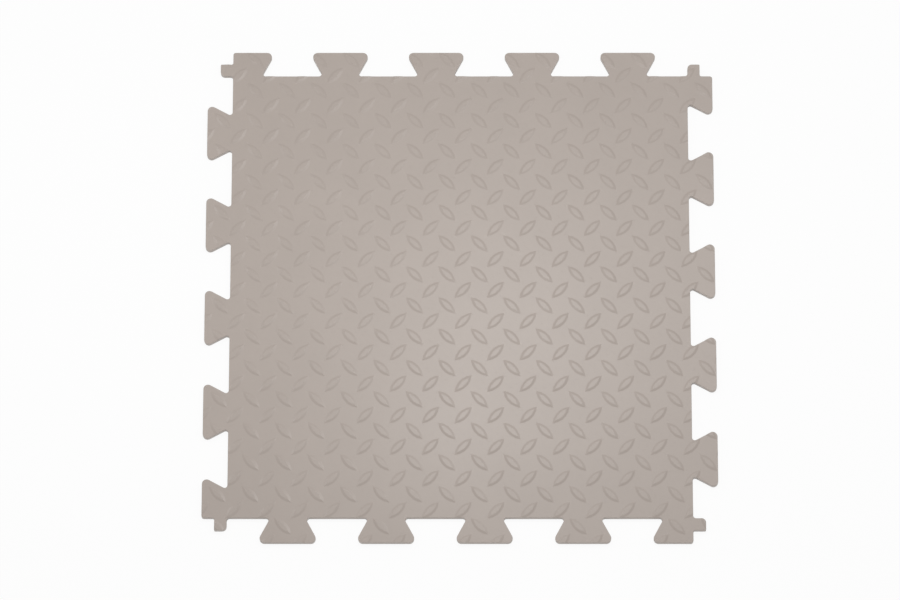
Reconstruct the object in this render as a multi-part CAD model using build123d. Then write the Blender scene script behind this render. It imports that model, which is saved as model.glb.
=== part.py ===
from build123d import *
import os
from math import ceil, cos, radians, tan

# Interlocking floor tile, moulded in one piece: a flat sheet with a raised tread of
# lens-shaped bars on top and dovetail tabs on all four sides. Millimetres, +Z up. The
# origin is the middle of the underside, the face that lies on the floor.

# Laying grid
sides = 4                  # all alike, each a quarter turn on from the last
module = 500.0             # from one laid tile to the next, both ways
tabs_per_side = 5          # whole tabs and the cut one at the corner
joint_gap = 0.4            # all round between two tiles laid together

# Sheet
sheet_thickness = 6.3      # from the floor to the ground between the bars

# Dovetail tabs
tab_depth = 26.0           # how far a tab reaches out of the body
flank_angle = 28.3         # between a tab's flank and its middle line, degrees
head_radius = 4.8          # corners of a tab's wide head
root_radius = 2.8          # where a tab's flank meets the body
shoulder_radius = 2.5      # outer corner of the cut tab at each end

# Corner stubs, which fill the square where four tiles meet
stub_root_radius = 3.0     # between a stub and the body's side
stub_heel_radius = 4.5     # outer corner next to the body
stub_toe_radius = 1.0      # outer corner at the middle of the square
stub_neck_radius = 2.0     # between a stub and the cut tab

# Tread bars
bars_per_tab = 3           # bars of one direction on each tab pitch
bar_length = 26.0          # point to point, at the foot
bar_width = 9.2            # across the middle, at the foot
bar_waist = 9.2            # straight stretch in the middle of each long side of the foot
bar_top_length = 17.0      # of the flat top, which is a slim diamond
bar_top_width = 4.2
bar_height = 0.7
rising_turn = 45           # from +X, degrees
falling_turn = 135
tread_shift_x = 3.1        # from the tile's middle to the nearest rising bar
tread_shift_y = 4.4
smallest_bar = 0.45        # a bar cut at the edge is left out below this share of a whole one

# What follows from them
tab_pitch = module / tabs_per_side
body = module - tab_depth - joint_gap
edge = body / 2
tip = edge + tab_depth
flank_run = tab_depth * tan(radians(flank_angle))
flank_clearance = joint_gap * (tan(radians(flank_angle)) + 1 / cos(radians(flank_angle)))
mean_width = tab_pitch / 2 - flank_clearance
neck_half = (mean_width - flank_run) / 2
head_half = (mean_width + flank_run) / 2
stub_reach = tab_depth / 2
bar_pitch = tab_pitch / bars_per_tab


def tab_middle(number):
    """Place of a tab's middle line along its side; the tabs sit a quarter pitch off."""
    return -module / 2 + tab_pitch / 4 + number * tab_pitch


def side_corners():
    """Corners of the far side from left to right, each with the radius it is rounded to."""
    stub_foot = edge + joint_gap
    corners = [
        (-edge, stub_foot, stub_root_radius),
        (-edge - stub_reach, stub_foot, stub_heel_radius),
        (-edge - stub_reach, edge + stub_reach, stub_toe_radius),
        (-edge, edge + stub_reach, stub_neck_radius),
        (-edge, tip, shoulder_radius),
        (tab_middle(0) + head_half, tip, head_radius),
        (tab_middle(0) + neck_half, edge, root_radius),
    ]
    for number in range(1, tabs_per_side):
        middle = tab_middle(number)
        corners += [
            (middle - neck_half, edge, root_radius),
            (middle - head_half, tip, head_radius),
            (middle + head_half, tip, head_radius),
            (middle + neck_half, edge, root_radius),
        ]
    return corners


def tile_outline():
    """Closed outline: the far side repeated at each quarter turn, like a pinwheel."""
    points = []
    radii = []
    for side in range(sides):
        quarter = Rotation(0, 0, -side * 360 / sides)
        for x, y, radius in side_corners():
            points.append((quarter * Pos(x, y)).position)
            radii.append(radius)
    return make_face(FilletPolyline(*points, radius=radii, close=True))


def mirrored(points):
    """Points of one long side, and the same points turned half round for the other side."""
    return points + [(-x, -y) for x, y in points]


def tread_bar():
    """One bar along X on the sheet: a foot with bowed sides, flanks and a flat top."""
    foot_side = [
        (bar_length / 2, 0),
        (bar_waist / 2, bar_width / 2),
        (-bar_waist / 2, bar_width / 2),
    ]
    top_side = [(bar_top_length / 2, 0), (0, bar_top_width / 2)]
    foot = [(x, y, sheet_thickness) for x, y in mirrored(foot_side)]
    top = [(x, y, sheet_thickness + bar_height) for x, y in mirrored(top_side)]
    return ConvexPolyhedron(foot + top)


def tread_places():
    """Middle and turn of each bar: rising ones on a square grid, falling ones between."""
    reach = ceil((tip + bar_length) / bar_pitch)
    places = []
    for column in range(-reach, reach + 1):
        for row in range(-reach, reach + 1):
            x = tread_shift_x + column * bar_pitch
            y = tread_shift_y + row * bar_pitch
            places.append((x, y, rising_turn))
            places.append((x + bar_pitch / 2, y + bar_pitch / 2, falling_turn))
    return places


def tread(outline):
    """All bars of the tile, with those that cross its edge cut off along it."""
    pattern = tread_bar()
    smallest = smallest_bar * pattern.volume
    prism = extrude(outline, sheet_thickness + bar_height, dir=(0, 0, 1))
    whole = []
    crossing = []
    for x, y, turn in tread_places():
        bar = Pos(x, y) * Rotation(0, 0, turn) * pattern
        outermost = max(abs(x), abs(y)) + bar_length / 2
        if outermost < edge:
            whole.append(bar)
        else:
            crossing.append(bar)
    cut = [piece for bar in crossing for piece in (bar & prism).solids()]
    return whole + [piece for piece in cut if piece.volume > smallest]


def floor_tile():
    """The whole moulding: sheet, tabs, stubs and tread as one solid."""
    outline = tile_outline()
    sheet = extrude(outline, sheet_thickness, dir=(0, 0, 1))
    return sheet.fuse(*tread(outline)).clean()


tile = floor_tile()
tile.label = "floor_tile"
os.makedirs("parts", exist_ok=True)
export_step(tile, "parts/floor_tile.step")
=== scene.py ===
import logging
from dataclasses import dataclass
from enum import Enum
from math import cos, radians, sin, tan

import bpy
import numpy as np
from mathutils import Matrix, Vector
from mathutils.geometry import delaunay_2d_cdt


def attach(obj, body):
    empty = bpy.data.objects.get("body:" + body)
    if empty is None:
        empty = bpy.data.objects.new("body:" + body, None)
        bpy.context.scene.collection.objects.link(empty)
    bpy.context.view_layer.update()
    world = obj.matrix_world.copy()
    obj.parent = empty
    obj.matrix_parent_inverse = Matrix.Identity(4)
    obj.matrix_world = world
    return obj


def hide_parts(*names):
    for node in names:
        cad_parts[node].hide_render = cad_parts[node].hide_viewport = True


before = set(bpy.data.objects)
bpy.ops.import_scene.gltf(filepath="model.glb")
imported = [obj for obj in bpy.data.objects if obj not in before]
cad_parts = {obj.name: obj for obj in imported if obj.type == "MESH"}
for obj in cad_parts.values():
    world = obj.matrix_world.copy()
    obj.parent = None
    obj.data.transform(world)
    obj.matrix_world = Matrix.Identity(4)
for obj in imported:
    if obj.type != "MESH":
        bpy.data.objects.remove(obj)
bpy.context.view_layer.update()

# Dresses one interlocking floor tile of moulded rubber: a diamond-tread sheet with dovetail
# tabs. Sizes are in millimetres of the real tile and become metres when a mesh is made.

MM = 0.001
TILE_NODE = "floor_tile"

log = logging.getLogger("floor_tile")


class BarTurn(Enum):
    """The two directions that the tread bars lie in, in degrees from +X."""

    RISING = 45.0
    FALLING = 135.0


def linear(hex_colour: str) -> tuple[float, float, float, float]:
    """Turns an sRGB hex colour into Blender's linear colour.

    Args:
        hex_colour: six hex digits with a leading mark, such as "#b0a7a0".

    Returns:
        Red, green, blue and an alpha of one.
    """
    parts = np.array([int(hex_colour[i:i + 2], 16) for i in (1, 3, 5)]) / 255.0
    low = parts / 12.92
    high = ((parts + 0.055) / 1.055) ** 2.4
    red, green, blue = np.where(parts <= 0.04045, low, high)
    return float(red), float(green), float(blue), 1.0


def add_node(tree: bpy.types.NodeTree, kind: str, settings: dict | None = None,
             inputs: dict | None = None) -> bpy.types.Node:
    """Adds one node, sets it up and links it.

    Args:
        tree: the node tree that the node goes into.
        kind: the node's Blender type.
        settings: the node's own properties by name.
        inputs: input sockets by name or number, each with a value or an output to link.

    Returns:
        The new node.
    """
    node = tree.nodes.new(kind)
    for name, value in (settings or {}).items():
        setattr(node, name, value)
    for key, value in (inputs or {}).items():
        if isinstance(value, bpy.types.NodeSocket):
            tree.links.new(value, node.inputs[key])
        else:
            node.inputs[key].default_value = value
    return node


def seen_share(tree: bpy.types.NodeTree) -> bpy.types.NodeSocket:
    """Tells the rays that see a backdrop from those that only light the tile with it.

    Args:
        tree: the node tree of the floor's material or of the world.

    Returns:
        An output of 1 for camera, glossy and transmission rays, and of 0 for all others.
    """
    path = add_node(tree, "ShaderNodeLightPath")
    seen = path.outputs["Is Camera Ray"]
    for ray in ("Is Glossy Ray", "Is Transmission Ray"):
        seen = add_node(tree, "ShaderNodeMath", {"operation": "MAXIMUM"}, {
            0: seen, 1: path.outputs[ray]}).outputs[0]
    return seen


def closed_edges(count: int) -> np.ndarray:
    """Pairs of neighbours round a closed loop.

    Args:
        count: how many points the loop has.

    Returns:
        An array of count rows, each a point and the next one.
    """
    start = np.arange(count)
    return np.stack([start, np.roll(start, -1)], axis=1)


def unit(vectors: np.ndarray) -> np.ndarray:
    """Vectors along the last axis, scaled to a length of one."""
    return vectors / np.linalg.norm(vectors, axis=-1, keepdims=True)


@dataclass
class TileOutline:
    """The tile's closed outline: four equal sides round the middle, like a pinwheel.

    All sizes are millimetres. The tabs sit a quarter of a pitch off the middle, so that
    two tiles that face each other interleave.
    """

    module: float = 500.0
    tabs_per_side: int = 5
    joint_gap: float = 0.4
    tab_depth: float = 26.0
    flank_angle: float = 28.3
    head_radius: float = 4.8
    root_radius: float = 2.8
    shoulder_radius: float = 2.5
    stub_root_radius: float = 3.0
    stub_heel_radius: float = 4.5
    stub_toe_radius: float = 1.0
    stub_neck_radius: float = 2.0
    steps_per_round: int = 9

    @property
    def edge(self) -> float:
        """Distance from the middle to the body's straight sides."""
        return (self.module - self.tab_depth - self.joint_gap) / 2

    @property
    def tip(self) -> float:
        """Distance from the middle to the tabs' tips."""
        return self.edge + self.tab_depth

    @property
    def tab_pitch(self) -> float:
        """Distance from one tab to the next along a side."""
        return self.module / self.tabs_per_side

    def side_corners(self) -> np.ndarray:
        """Corners of the far side from left to right.

        Returns:
            One row per corner: x, y and the radius that it is rounded to.
        """
        slope = radians(self.flank_angle)
        run = self.tab_depth * tan(slope)
        width = self.tab_pitch / 2 - self.joint_gap * (tan(slope) + 1 / cos(slope))
        neck, head = (width - run) / 2, (width + run) / 2
        edge, tip, reach = self.edge, self.tip, self.tab_depth / 2
        first = -self.module / 2 + self.tab_pitch / 4
        rows = [
            (-edge, edge + self.joint_gap, self.stub_root_radius),
            (-edge - reach, edge + self.joint_gap, self.stub_heel_radius),
            (-edge - reach, edge + reach, self.stub_toe_radius),
            (-edge, edge + reach, self.stub_neck_radius),
            (-edge, tip, self.shoulder_radius),
            (first + head, tip, self.head_radius),
            (first + neck, edge, self.root_radius),
        ]
        for number in range(1, self.tabs_per_side):
            middle = first + number * self.tab_pitch
            rows += [
                (middle - neck, edge, self.root_radius),
                (middle - head, tip, self.head_radius),
                (middle + head, tip, self.head_radius),
                (middle + neck, edge, self.root_radius),
            ]
        return np.array(rows)

    def loop(self) -> tuple[np.ndarray, np.ndarray]:
        """The whole outline, anticlockwise, with every corner rounded.

        A rounded corner is an arc whose middle lies on the line that halves the corner, at
        radius over the sine of half its angle, and it is stepped evenly by its own angle:
        a grid of corners by steps.

        Returns:
            The points, and at each the outline's outward normal.
        """
        side = self.side_corners()
        quarter = np.array([[0.0, -1.0], [1.0, 0.0]])
        turned = [side[:, :2] @ np.linalg.matrix_power(quarter, turn) for turn in range(4)]
        corner = np.concatenate(turned)[::-1]
        radius = np.tile(side[:, 2], 4)[::-1]
        back = unit(np.roll(corner, 1, axis=0) - corner)
        ahead = unit(np.roll(corner, -1, axis=0) - corner)
        half = np.arccos(np.clip((back * ahead).sum(axis=1), -1, 1)) / 2
        inward = unit(back + ahead)
        middle = corner + inward * (radius / np.sin(half))[:, None]
        turn_sign = np.sign(back[:, 0] * ahead[:, 1] - back[:, 1] * ahead[:, 0])
        across = np.stack([-inward[:, 1], inward[:, 0]], axis=1)
        share = np.linspace(-1, 1, self.steps_per_round)
        angle = share[None, :] * ((np.pi / 2 - half) * turn_sign)[:, None]
        spoke = (-inward[:, None, :] * np.cos(angle)[..., None]
                 + across[:, None, :] * np.sin(angle)[..., None])
        points = middle[:, None, :] + spoke * radius[:, None, None]
        normals = spoke * -turn_sign[:, None, None]
        return points.reshape(-1, 2), normals.reshape(-1, 2)


@dataclass
class DiamondTread:
    """The raised bars: a square grid of rising bars with a falling bar between each four.

    All sizes are millimetres. A bar's foot is a lens, the overlap of two discs. Everything
    on a bar follows from its inset, which is how far a point lies inside that lens.
    """

    pitch: float = 100.0 / 3
    shift: tuple[float, float] = (3.1, 4.4)
    bar_length: float = 25.5
    bar_width: float = 9.7
    bar_flank: float = 2.85
    bar_height: float = 0.7
    soft_share: float = 0.14
    steps_per_side: int = 5

    @property
    def bow_radius(self) -> float:
        """Radius of a foot's two bowed sides, from its length and width."""
        half_length, half_width = self.bar_length / 2, self.bar_width / 2
        return (half_length ** 2 + half_width ** 2) / (2 * half_width)

    @property
    def bow_depth(self) -> float:
        """How far each bowed side's centre lies beyond the bar's own axis."""
        return self.bow_radius - self.bar_width / 2

    def middles(self, turn: BarTurn, reach: float) -> np.ndarray:
        """Middles of all bars of one direction within a square.

        Args:
            turn: the bars' direction.
            reach: half the square's side.

        Returns:
            One row per bar: x and y.
        """
        offset = self.offset(turn)
        count = int(reach / self.pitch) + 2
        steps = np.arange(-count, count + 1) * self.pitch
        grid = np.stack(np.meshgrid(steps, steps), axis=-1).reshape(-1, 2) + offset
        return grid[np.abs(grid).max(axis=1) < reach]

    def offset(self, turn: BarTurn) -> np.ndarray:
        """Where the grid of one direction's bars is anchored."""
        half_step = self.pitch / 2 if turn is BarTurn.FALLING else 0.0
        return np.array(self.shift) + half_step

    def profile(self, inset: np.ndarray) -> tuple[np.ndarray, np.ndarray]:
        """Height of a bar's surface above the ground, and its slope, by inset.

        The slope grows evenly over the soft share of the flank, stays level, and falls
        back evenly to the flat top, so the height is its running sum: a parabola, a
        straight line and a parabola.

        Args:
            inset: how far inside the foot each point lies; negative is outside.

        Returns:
            The heights and the slopes, as arrays of the same shape.
        """
        soft = self.soft_share
        share = np.clip(inset / self.bar_flank, 0, 1)
        near = np.minimum(share, 1 - share)
        curve = np.where(near < soft, near ** 2 / (2 * soft), near - soft / 2) / (1 - soft)
        height = np.where(share > 0.5, 1 - curve, curve)
        slope = np.minimum(near / soft, 1) / (1 - soft)
        return height * self.bar_height, slope * self.bar_height / self.bar_flank

    def surface(self, points: np.ndarray) -> tuple[np.ndarray, np.ndarray]:
        """Height above the ground and surface normal at any points of the tile's plan.

        Each point is taken to the axes of its nearest bar: u along it and v across it. Its
        inset is the bow radius less its distance from the centre of the farther bowed side,
        which is the root of u squared plus the square of |v| plus the bow depth.

        Args:
            points: rows of x and y.

        Returns:
            The heights, and the normals as rows of x, y and z.
        """
        height = np.zeros(len(points))
        normal = np.zeros((len(points), 3))
        normal[:, 2] = 1.0
        for turn in BarTurn:
            away = points - self.offset(turn)
            away -= self.pitch * np.round(away / self.pitch)
            along, across = self.axes(turn)
            u, v = away @ along, away @ across
            arm = np.abs(v) + self.bow_depth
            spread = np.sqrt(u ** 2 + arm ** 2)
            bar, slope = self.profile(self.bow_radius - spread)
            fall = (u / spread * slope)[:, None] * along
            fall = fall + (np.sign(v) * arm / spread * slope)[:, None] * across
            height += bar
            normal[:, :2] += fall
        return height, unit(normal)

    def axes(self, turn: BarTurn) -> tuple[np.ndarray, np.ndarray]:
        """Unit vectors along and across the bars of one direction."""
        angle = radians(turn.value)
        return np.array([cos(angle), sin(angle)]), np.array([-sin(angle), cos(angle)])

    def contours(self, turn: BarTurn, middles: np.ndarray) -> tuple[np.ndarray, np.ndarray]:
        """Lines of equal inset on every bar of one direction, from its foot to its top.

        Each line is a smaller lens with the same centres: its bowed side is an arc of the
        bow radius less the inset, stepped evenly by angle from one point to the other. The
        slope changes evenly from each line to the next, so four lines carry the whole
        profile and a bar has only a few dozen faces.

        Args:
            turn: the bars' direction.
            middles: the middles of the bars.

        Returns:
            The points, and pairs of points that an edge must join.
        """
        insets = np.array([0, self.soft_share, 1 - self.soft_share, 1]) * self.bar_flank
        radius = self.bow_radius - insets
        sweep = np.arccos(self.bow_depth / radius)
        share = np.linspace(1, -1, self.steps_per_side, endpoint=False)
        angle = sweep[:, None] * share[None, :]
        side = np.stack([radius[:, None] * np.sin(angle),
                         radius[:, None] * np.cos(angle) - self.bow_depth], axis=-1)
        lens = np.concatenate([side, -side], axis=1)
        along, across = self.axes(turn)
        plan = lens[..., :1] * along + lens[..., 1:] * across
        points = (middles[:, None, None, :] + plan[None]).reshape(-1, 2)
        round_lens = lens.shape[1]
        rings = np.arange(len(middles) * len(insets)) * round_lens
        edges = (rings[:, None, None] + closed_edges(round_lens)[None]).reshape(-1, 2)
        inner = rings.reshape(len(middles), len(insets))
        ridge = np.stack([inner[:, :-1], inner[:, 1:]], axis=-1).reshape(-1, 2)
        edges = np.concatenate([edges, ridge, ridge + self.steps_per_side])
        return points, edges


def inside(points: np.ndarray, start: np.ndarray, end: np.ndarray,
           batch: int = 20000) -> np.ndarray:
    """Which points lie inside a closed loop, by counting the sides that a ray crosses.

    Args:
        points: rows of x and y.
        start: where each of the loop's sides starts, in any order.
        end: where each side ends.
        batch: how many points are tested at a time.

    Returns:
        True for each point inside.
    """
    rise = end[:, 1] - start[:, 1]
    run = (end[:, 0] - start[:, 0]) / np.where(rise == 0, 1.0, rise)
    answer = np.zeros(len(points), bool)
    for first in range(0, len(points), batch):
        x, y = points[first:first + batch].T[:, :, None]
        level = (start[:, 1] > y) != (end[:, 1] > y)
        crossing = start[:, 0] + (y - start[:, 1]) * run
        answer[first:first + batch] = (level & (crossing > x)).sum(axis=1) % 2 == 1
    return answer


def triangulate(points: np.ndarray, edges: np.ndarray) -> tuple[np.ndarray, np.ndarray]:
    """Fills the plane with triangles that keep the given edges.

    Args:
        points: rows of x and y.
        edges: pairs of points to join; where two cross, a point is added.

    Returns:
        The points with any that were added, and the triangles, anticlockwise.
    """
    merge = 1e-5
    result = delaunay_2d_cdt(points.tolist(), edges.tolist(), [], 0, merge, False)
    return np.array([tuple(point) for point in result[0]]), np.array(result[2])


def rim_edges(triangles: np.ndarray) -> np.ndarray:
    """Edges that only one triangle has, in that triangle's own direction."""
    pairs = np.concatenate([triangles[:, [0, 1]], triangles[:, [1, 2]], triangles[:, [2, 0]]])
    size = pairs.max() + 1
    forward = pairs[:, 0] * size + pairs[:, 1]
    backward = pairs[:, 1] * size + pairs[:, 0]
    return pairs[~np.isin(forward, backward)]


def loop_normals(points: np.ndarray, loop: np.ndarray, normals: np.ndarray) -> np.ndarray:
    """Outward normals at points that lie on a loop, between those at the loop's points.

    Args:
        points: rows of x and y on the loop.
        loop: the loop's points in order.
        normals: the outward normal at each.

    Returns:
        One unit normal for each point.
    """
    shortest = 1e-6
    side = np.roll(loop, -1, axis=0) - loop
    square = np.maximum((side ** 2).sum(axis=1), shortest ** 2)
    away = points[:, None, :] - loop[None]
    share = np.clip((away * side[None]).sum(axis=2) / square, 0, 1)
    gap = ((away - share[..., None] * side[None]) ** 2).sum(axis=2)
    nearest = gap.argmin(axis=1)
    part = share[np.arange(len(points)), nearest][:, None]
    following = np.roll(normals, -1, axis=0)
    return unit(normals[nearest] * (1 - part) + following[nearest] * part)


def show_mesh(name: str, points: np.ndarray, triangles: np.ndarray,
              normals: np.ndarray | None = None) -> bpy.types.Object:
    """Puts a surface into the scene as one object at the origin.

    Args:
        name: the object's name.
        points: rows of x, y and z in millimetres.
        triangles: rows of three point numbers, anticlockwise from outside.
        normals: the surface's own normal at each triangle's corners, as a grid of triangles
            by three; without them it is shaded flat.

    Returns:
        The new object.
    """
    mesh = bpy.data.meshes.new(name)
    mesh.from_pydata((points * MM).tolist(), [], triangles.tolist())
    if normals is not None:
        mesh.shade_smooth()
        mesh.normals_split_custom_set(normals.reshape(-1, 3).tolist())
    mesh.update()
    shown = bpy.data.objects.new(name, mesh)
    bpy.context.scene.collection.objects.link(shown)
    return shown


@dataclass(frozen=True)
class MouldedRubber:
    """Flexible PVC-type rubber, compression moulded in a tool with blasted bar recesses.

    To the eye: a flat beige-grey with a low satin sheen, smooth between the bars, and a dry
    fine grain on their tops, which are a shade darker and break the sheen into specks. The
    bars' sloping sides are painted a shade darker again, as painted shade.
    """

    ground: str = "#afa49c"
    # Painted shade: the bars' sloping sides are given this darker colour.
    painted_side_shade: str = "#ada29a"
    bar_top: str = "#aea39b"
    roughness: float = 0.375
    refraction: float = 1.5
    cloud_mm: float = 60.0
    cloud_share: float = 0.015
    cloud_detail: float = 3.0
    noise_range: tuple[float, float] = (0.3, 0.7)
    # Blasting leaves pits of about 0.3 mm, which are finer than the render can show, so the
    # grain is drawn as coarse as it needs to be seen.
    grain_mm: float = 1.5
    grain_detail: float = 2.0
    top_grain_depth_mm: float = 0.05
    ground_grain_depth_mm: float = 0.012
    # Heights above the ground over which the sides' painted shade and the top's colour come
    # in.
    side_shade_rise_mm: tuple[float, float] = (0.01, 0.07)
    top_rise_mm: tuple[float, float] = (0.5, 0.65)

    def build(self, ground_mm: float) -> bpy.types.Material:
        """Makes the material.

        Args:
            ground_mm: height of the ground between the bars.

        Returns:
            The material, which reads Object coordinates only.
        """
        material = bpy.data.materials.new("moulded_pvc_rubber")
        material.use_nodes = True
        tree = material.node_tree
        tree.nodes.clear()
        place = add_node(tree, "ShaderNodeTexCoord").outputs["Object"]
        height = add_node(tree, "ShaderNodeSeparateXYZ", inputs={0: place}).outputs["Z"]
        side_shade_share, on_top = [
            add_node(tree, "ShaderNodeMapRange", inputs={
                "Value": height, "From Min": (ground_mm + low) * MM,
                "From Max": (ground_mm + high) * MM}).outputs[0]
            for low, high in (self.side_shade_rise_mm, self.top_rise_mm)]
        cloud = add_node(tree, "ShaderNodeTexNoise", inputs={
            "Vector": place, "Scale": 1 / (self.cloud_mm * MM),
            "Detail": self.cloud_detail}).outputs[0]
        shade = add_node(tree, "ShaderNodeMapRange", inputs={
            "Value": cloud, "From Min": self.noise_range[0], "From Max": self.noise_range[1],
            "To Min": 1 - self.cloud_share, "To Max": 1 + self.cloud_share}).outputs[0]
        # Painted shade: the bars' sloping sides are mixed toward the darker side colour.
        side = add_node(tree, "ShaderNodeMix", {"data_type": "RGBA"}, {
            "Factor": side_shade_share, "A": linear(self.ground), "B": linear(self.painted_side_shade)})
        plain = add_node(tree, "ShaderNodeMix", {"data_type": "RGBA"}, {
            "Factor": on_top, "A": side.outputs["Result"], "B": linear(self.bar_top)})
        colour = add_node(tree, "ShaderNodeVectorMath", {"operation": "SCALE"}, {
            0: plain.outputs["Result"], "Scale": shade}).outputs[0]
        grain = add_node(tree, "ShaderNodeTexNoise", inputs={
            "Vector": place, "Scale": 1 / (self.grain_mm * MM),
            "Detail": self.grain_detail}).outputs[0]
        strength = add_node(tree, "ShaderNodeMapRange", inputs={
            "Value": on_top, "To Min": self.ground_grain_depth_mm / self.top_grain_depth_mm,
            "To Max": 1.0}).outputs[0]
        bump = add_node(tree, "ShaderNodeBump", inputs={
            "Strength": strength, "Distance": self.top_grain_depth_mm * MM,
            "Height": grain}).outputs[0]
        shader = add_node(tree, "ShaderNodeBsdfPrincipled", inputs={
            "Base Color": colour, "Roughness": self.roughness, "IOR": self.refraction,
            "Normal": bump})
        add_node(tree, "ShaderNodeOutputMaterial", inputs={"Surface": shader.outputs[0]})
        return material


@dataclass
class FloorTile:
    """The tile's one moulding: a treaded top, a rounded rim, a wall and a plain underside."""

    outline: TileOutline
    tread: DiamondTread
    finish: MouldedRubber
    thickness: float = 6.3
    rim_round: float = 0.4
    foot_round: float = 0.3
    round_steps: int = 3
    corner_lean: float = 0.02

    def top(self, loop: np.ndarray) -> tuple[np.ndarray, np.ndarray, np.ndarray]:
        """The treaded face, as far as a loop.

        Each corner's normal is read a little way from its point toward its own triangle's
        middle, so that the ridge at a bar's end, where its two flanks meet, stays sharp.

        Args:
            loop: the face's edge, a little inside the outline.

        Returns:
            Its points, its triangles and the normals at the triangles' corners.
        """
        points, edges = loop, closed_edges(len(loop))
        for turn in BarTurn:
            middles = self.tread.middles(turn, self.outline.tip + self.tread.bar_length / 2)
            bars, joins = self.tread.contours(turn, middles)
            edges = np.concatenate([edges, joins + len(points)])
            points = np.concatenate([points, bars])
        plan, triangles = triangulate(points, edges)
        middle = plan[triangles].mean(axis=1)
        kept = np.abs(middle).max(axis=1) < self.outline.edge - self.rim_round
        kept[~kept] = inside(middle[~kept], loop, np.roll(loop, -1, axis=0))
        used, numbers = np.unique(triangles[kept], return_inverse=True)
        height, _ = self.tread.surface(plan[used])
        surface = np.column_stack([plan[used], height + self.thickness])
        corners = plan[triangles[kept]]
        leant = corners + self.corner_lean * (middle[kept][:, None] - corners)
        _, normals = self.tread.surface(leant.reshape(-1, 2))
        return surface, numbers.reshape(-1, 3), normals.reshape(-1, 3, 3)

    def rim(self, start: np.ndarray, facing: np.ndarray,
            outward: np.ndarray) -> tuple[np.ndarray, np.ndarray]:
        """Rows of points from the top's edge over the rim, down the wall and under the foot.

        Both roundings are quarter circles: at each angle a row lies radius times sin a
        farther out and radius times (1 - cos a) lower, and the foot's runs the other way.

        Args:
            start: the points of the top's edge.
            facing: the top's normal at each.
            outward: the outline's normal at each, as rows of x and y.

        Returns:
            The rows' points and normals, as grids of rows by points.
        """
        out = np.column_stack([outward, np.zeros(len(outward))])
        up = np.array([0.0, 0.0, 1.0])
        turn = np.linspace(0, np.pi / 2, self.round_steps + 1)[1:, None, None]
        over = start + self.rim_round * (np.sin(turn) * out - (1 - np.cos(turn)) * up)
        over_normal = unit(np.cos(turn) * facing + np.sin(turn) * out)
        wall = start * [1, 1, 0] + self.rim_round * out + self.foot_round * up
        turn = np.linspace(0, np.pi / 2, self.round_steps + 1)[:, None, None]
        under = wall + self.foot_round * ((np.cos(turn) - 1) * out - np.sin(turn) * up)
        under_normal = np.cos(turn) * out - np.sin(turn) * up
        return np.concatenate([over, under]), np.concatenate([over_normal, under_normal])

    def build(self) -> bpy.types.Object:
        """Makes the closed tile, dressed, in the place of its CAD node.

        Returns:
            The tile's object.
        """
        outline, outward = self.outline.loop()
        loop = outline - self.rim_round * outward
        points, triangles, normals = self.top(loop)
        border = rim_edges(triangles)
        rim_points = np.unique(border)
        outward = loop_normals(points[rim_points, :2], loop, outward)
        _, facing = self.tread.surface(points[rim_points, :2])
        rows, row_normals = self.rim(points[rim_points], facing, outward)
        count, deep = len(rim_points), len(rows)
        level = np.concatenate([rim_points[None], len(points) + np.arange(
            deep * count).reshape(deep, count)])
        place = np.searchsorted(rim_points, border)
        first, second = level[:, place[:, 0]], level[:, place[:, 1]]
        strips = np.concatenate([
            np.stack([second[:-1], first[:-1], first[1:]], axis=-1).reshape(-1, 3),
            np.stack([second[:-1], first[1:], second[1:]], axis=-1).reshape(-1, 3)])
        foot, under = triangulate(rows[-1][:, :2], place)
        under = under[inside(foot[under].mean(axis=1), foot[place[:, 0]], foot[place[:, 1]])]
        skirt = np.concatenate([strips, level[-1][under[:, ::-1]]])
        at_points = np.zeros((len(points), 3))
        at_points[rim_points] = facing
        at_points = np.concatenate([at_points, row_normals.reshape(-1, 3)])
        tile = show_mesh("rubber_floor_tile", np.concatenate([points, rows.reshape(-1, 3)]),
                         np.concatenate([triangles, skirt]),
                         np.concatenate([normals, at_points[skirt]]))
        tile.data.materials.append(self.finish.build(self.thickness))
        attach(tile, "root")
        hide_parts(TILE_NODE)
        log.info("%s: %d triangles", tile.name, len(tile.data.polygons))
        return tile


@dataclass
class StudioFloor:
    """A plain pale floor that reads as white and keeps the tile's shadow."""

    half_width: float = 4000.0
    drop: float = 0.05
    colour: str = "#f4f4f4"
    glow: float = 0.92

    def build(self) -> bpy.types.Object:
        """Makes the floor.

        Seen straight or in a reflection, it is part glow of strength 1, which is white, and
        part pale matt floor, which holds the shadow.

        Returns:
            The floor's object.
        """
        w = self.half_width
        corners = np.array([[-w, -w, -self.drop], [w, -w, -self.drop],
                            [w, w, -self.drop], [-w, w, -self.drop]])
        floor = show_mesh("studio_floor", corners, np.array([[0, 1, 2], [0, 2, 3]]))
        material = bpy.data.materials.new("matt_pale_floor")
        material.use_nodes = True
        tree = material.node_tree
        tree.nodes.clear()
        share = add_node(tree, "ShaderNodeMath", {"operation": "MULTIPLY"}, {
            0: seen_share(tree), 1: self.glow}).outputs[0]
        matt = add_node(tree, "ShaderNodeBsdfDiffuse", inputs={0: linear(self.colour)})
        glow = add_node(tree, "ShaderNodeEmission", inputs={0: (1.0, 1.0, 1.0, 1.0)})
        mixed = add_node(tree, "ShaderNodeMixShader", inputs={
            0: share, 1: matt.outputs[0], 2: glow.outputs[0]})
        add_node(tree, "ShaderNodeOutputMaterial", inputs={"Surface": mixed.outputs[0]})
        floor.data.materials.append(material)
        log.info("%s", floor.name)
        return floor


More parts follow.
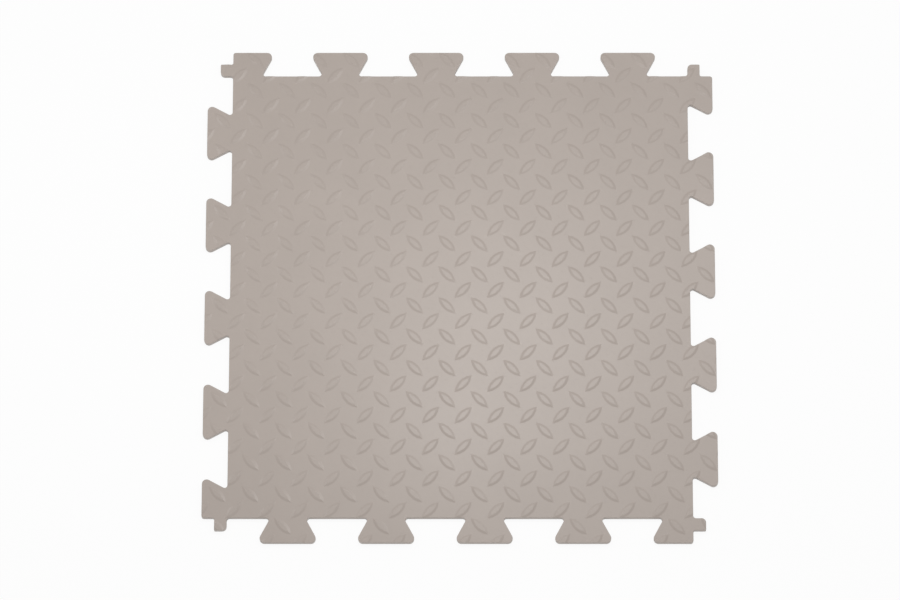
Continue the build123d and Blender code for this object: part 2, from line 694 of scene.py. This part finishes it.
@dataclass
class SoftLamp:
    """A square soft box. Its sizes are metres and its power watts."""

    name: str
    place: tuple[float, float, float]
    side: float
    power: float
    aim: tuple[float, float, float] = (0.0, 0.0, 0.0)

    def build(self) -> bpy.types.Object:
        """Makes the lamp and turns it to its aim.

        Returns:
            The lamp's object.
        """
        data = bpy.data.lights.new(self.name, "AREA")
        data.shape, data.size, data.energy = "SQUARE", self.side, self.power
        lamp = bpy.data.objects.new(self.name, data)
        bpy.context.scene.collection.objects.link(lamp)
        lamp.location = self.place
        lamp.visible_camera = False
        away = Vector(self.aim) - Vector(self.place)
        lamp.rotation_euler = away.to_track_quat("-Z", "Y").to_euler()
        log.info("%s", lamp.name)
        return lamp


@dataclass
class StudioSky:
    """Even light from all round, and white where it is seen, straight or in a reflection."""

    strength: float = 0.61

    def build(self) -> bpy.types.World:
        """Makes the world.

        Returns:
            The world.
        """
        world = bpy.data.worlds.new("studio_sky")
        world.use_nodes = True
        tree = world.node_tree
        tree.nodes.clear()
        strength = add_node(tree, "ShaderNodeMapRange", inputs={
            "Value": seen_share(tree), "To Min": self.strength, "To Max": 1.0}).outputs[0]
        sky = add_node(tree, "ShaderNodeBackground", inputs={
            "Color": (1.0, 1.0, 1.0, 1.0), "Strength": strength})
        add_node(tree, "ShaderNodeOutputWorld", inputs={"Surface": sky.outputs[0]})
        bpy.context.scene.world = world
        log.info("%s", world.name)
        return world


@dataclass
class StudioCamera:
    """A long lens high above the near side, as the photograph was taken. Millimetres."""

    target: tuple[float, float, float] = (-10.4, -4.5, 0.0)
    distance: float = 5000.0
    elevation: float = 73.67
    azimuth: float = -0.62
    roll: float = -0.60
    lens: float = 194.1
    sensor: float = 36.0

    def build(self) -> bpy.types.Object:
        """Makes the camera from its three directions and sets it as the scene's own.

        Returns:
            The camera's object.
        """
        turn, rise, tip = radians(self.azimuth), radians(self.elevation), radians(self.roll)
        ahead = Vector((sin(turn) * cos(rise), cos(turn) * cos(rise), -sin(rise)))
        level = Vector((cos(turn), -sin(turn), 0.0))
        steep = level.cross(ahead)
        right = cos(tip) * level + sin(tip) * steep
        up = cos(tip) * steep - sin(tip) * level
        data = bpy.data.cameras.new("studio_camera")
        data.lens, data.sensor_width = self.lens, self.sensor
        camera = bpy.data.objects.new("studio_camera", data)
        bpy.context.scene.collection.objects.link(camera)
        place = (Vector(self.target) - self.distance * ahead) * MM
        turned = Matrix((right, up, -ahead)).transposed()
        camera.matrix_world = Matrix.Translation(place) @ turned.to_4x4()
        bpy.context.scene.camera = camera
        log.info("%s", camera.name)
        return camera


def main() -> None:
    """Builds the tile, the floor, the lights and the camera in order."""
    logging.basicConfig(level=logging.INFO)
    scene = bpy.context.scene
    scene.view_settings.view_transform = "Standard"
    FloorTile(TileOutline(), DiamondTread(), MouldedRubber()).build()
    StudioFloor().build()
    StudioSky().build()
    SoftLamp("key_soft_box", place=(0.066, 0.249, 1.101), side=0.10, power=2.016).build()
    SoftLamp("right_soft_box", place=(0.499, 0.325, 1.146), side=0.08, power=1.304).build()
    SoftLamp("left_soft_box", place=(-0.583, 0.153, 0.613), side=0.08, power=0.590).build()
    SoftLamp("low_soft_box", place=(-0.012, -0.064, 0.326), side=0.05, power=0.067).build()
    StudioCamera().build()


if __name__ == "__main__":
    main()
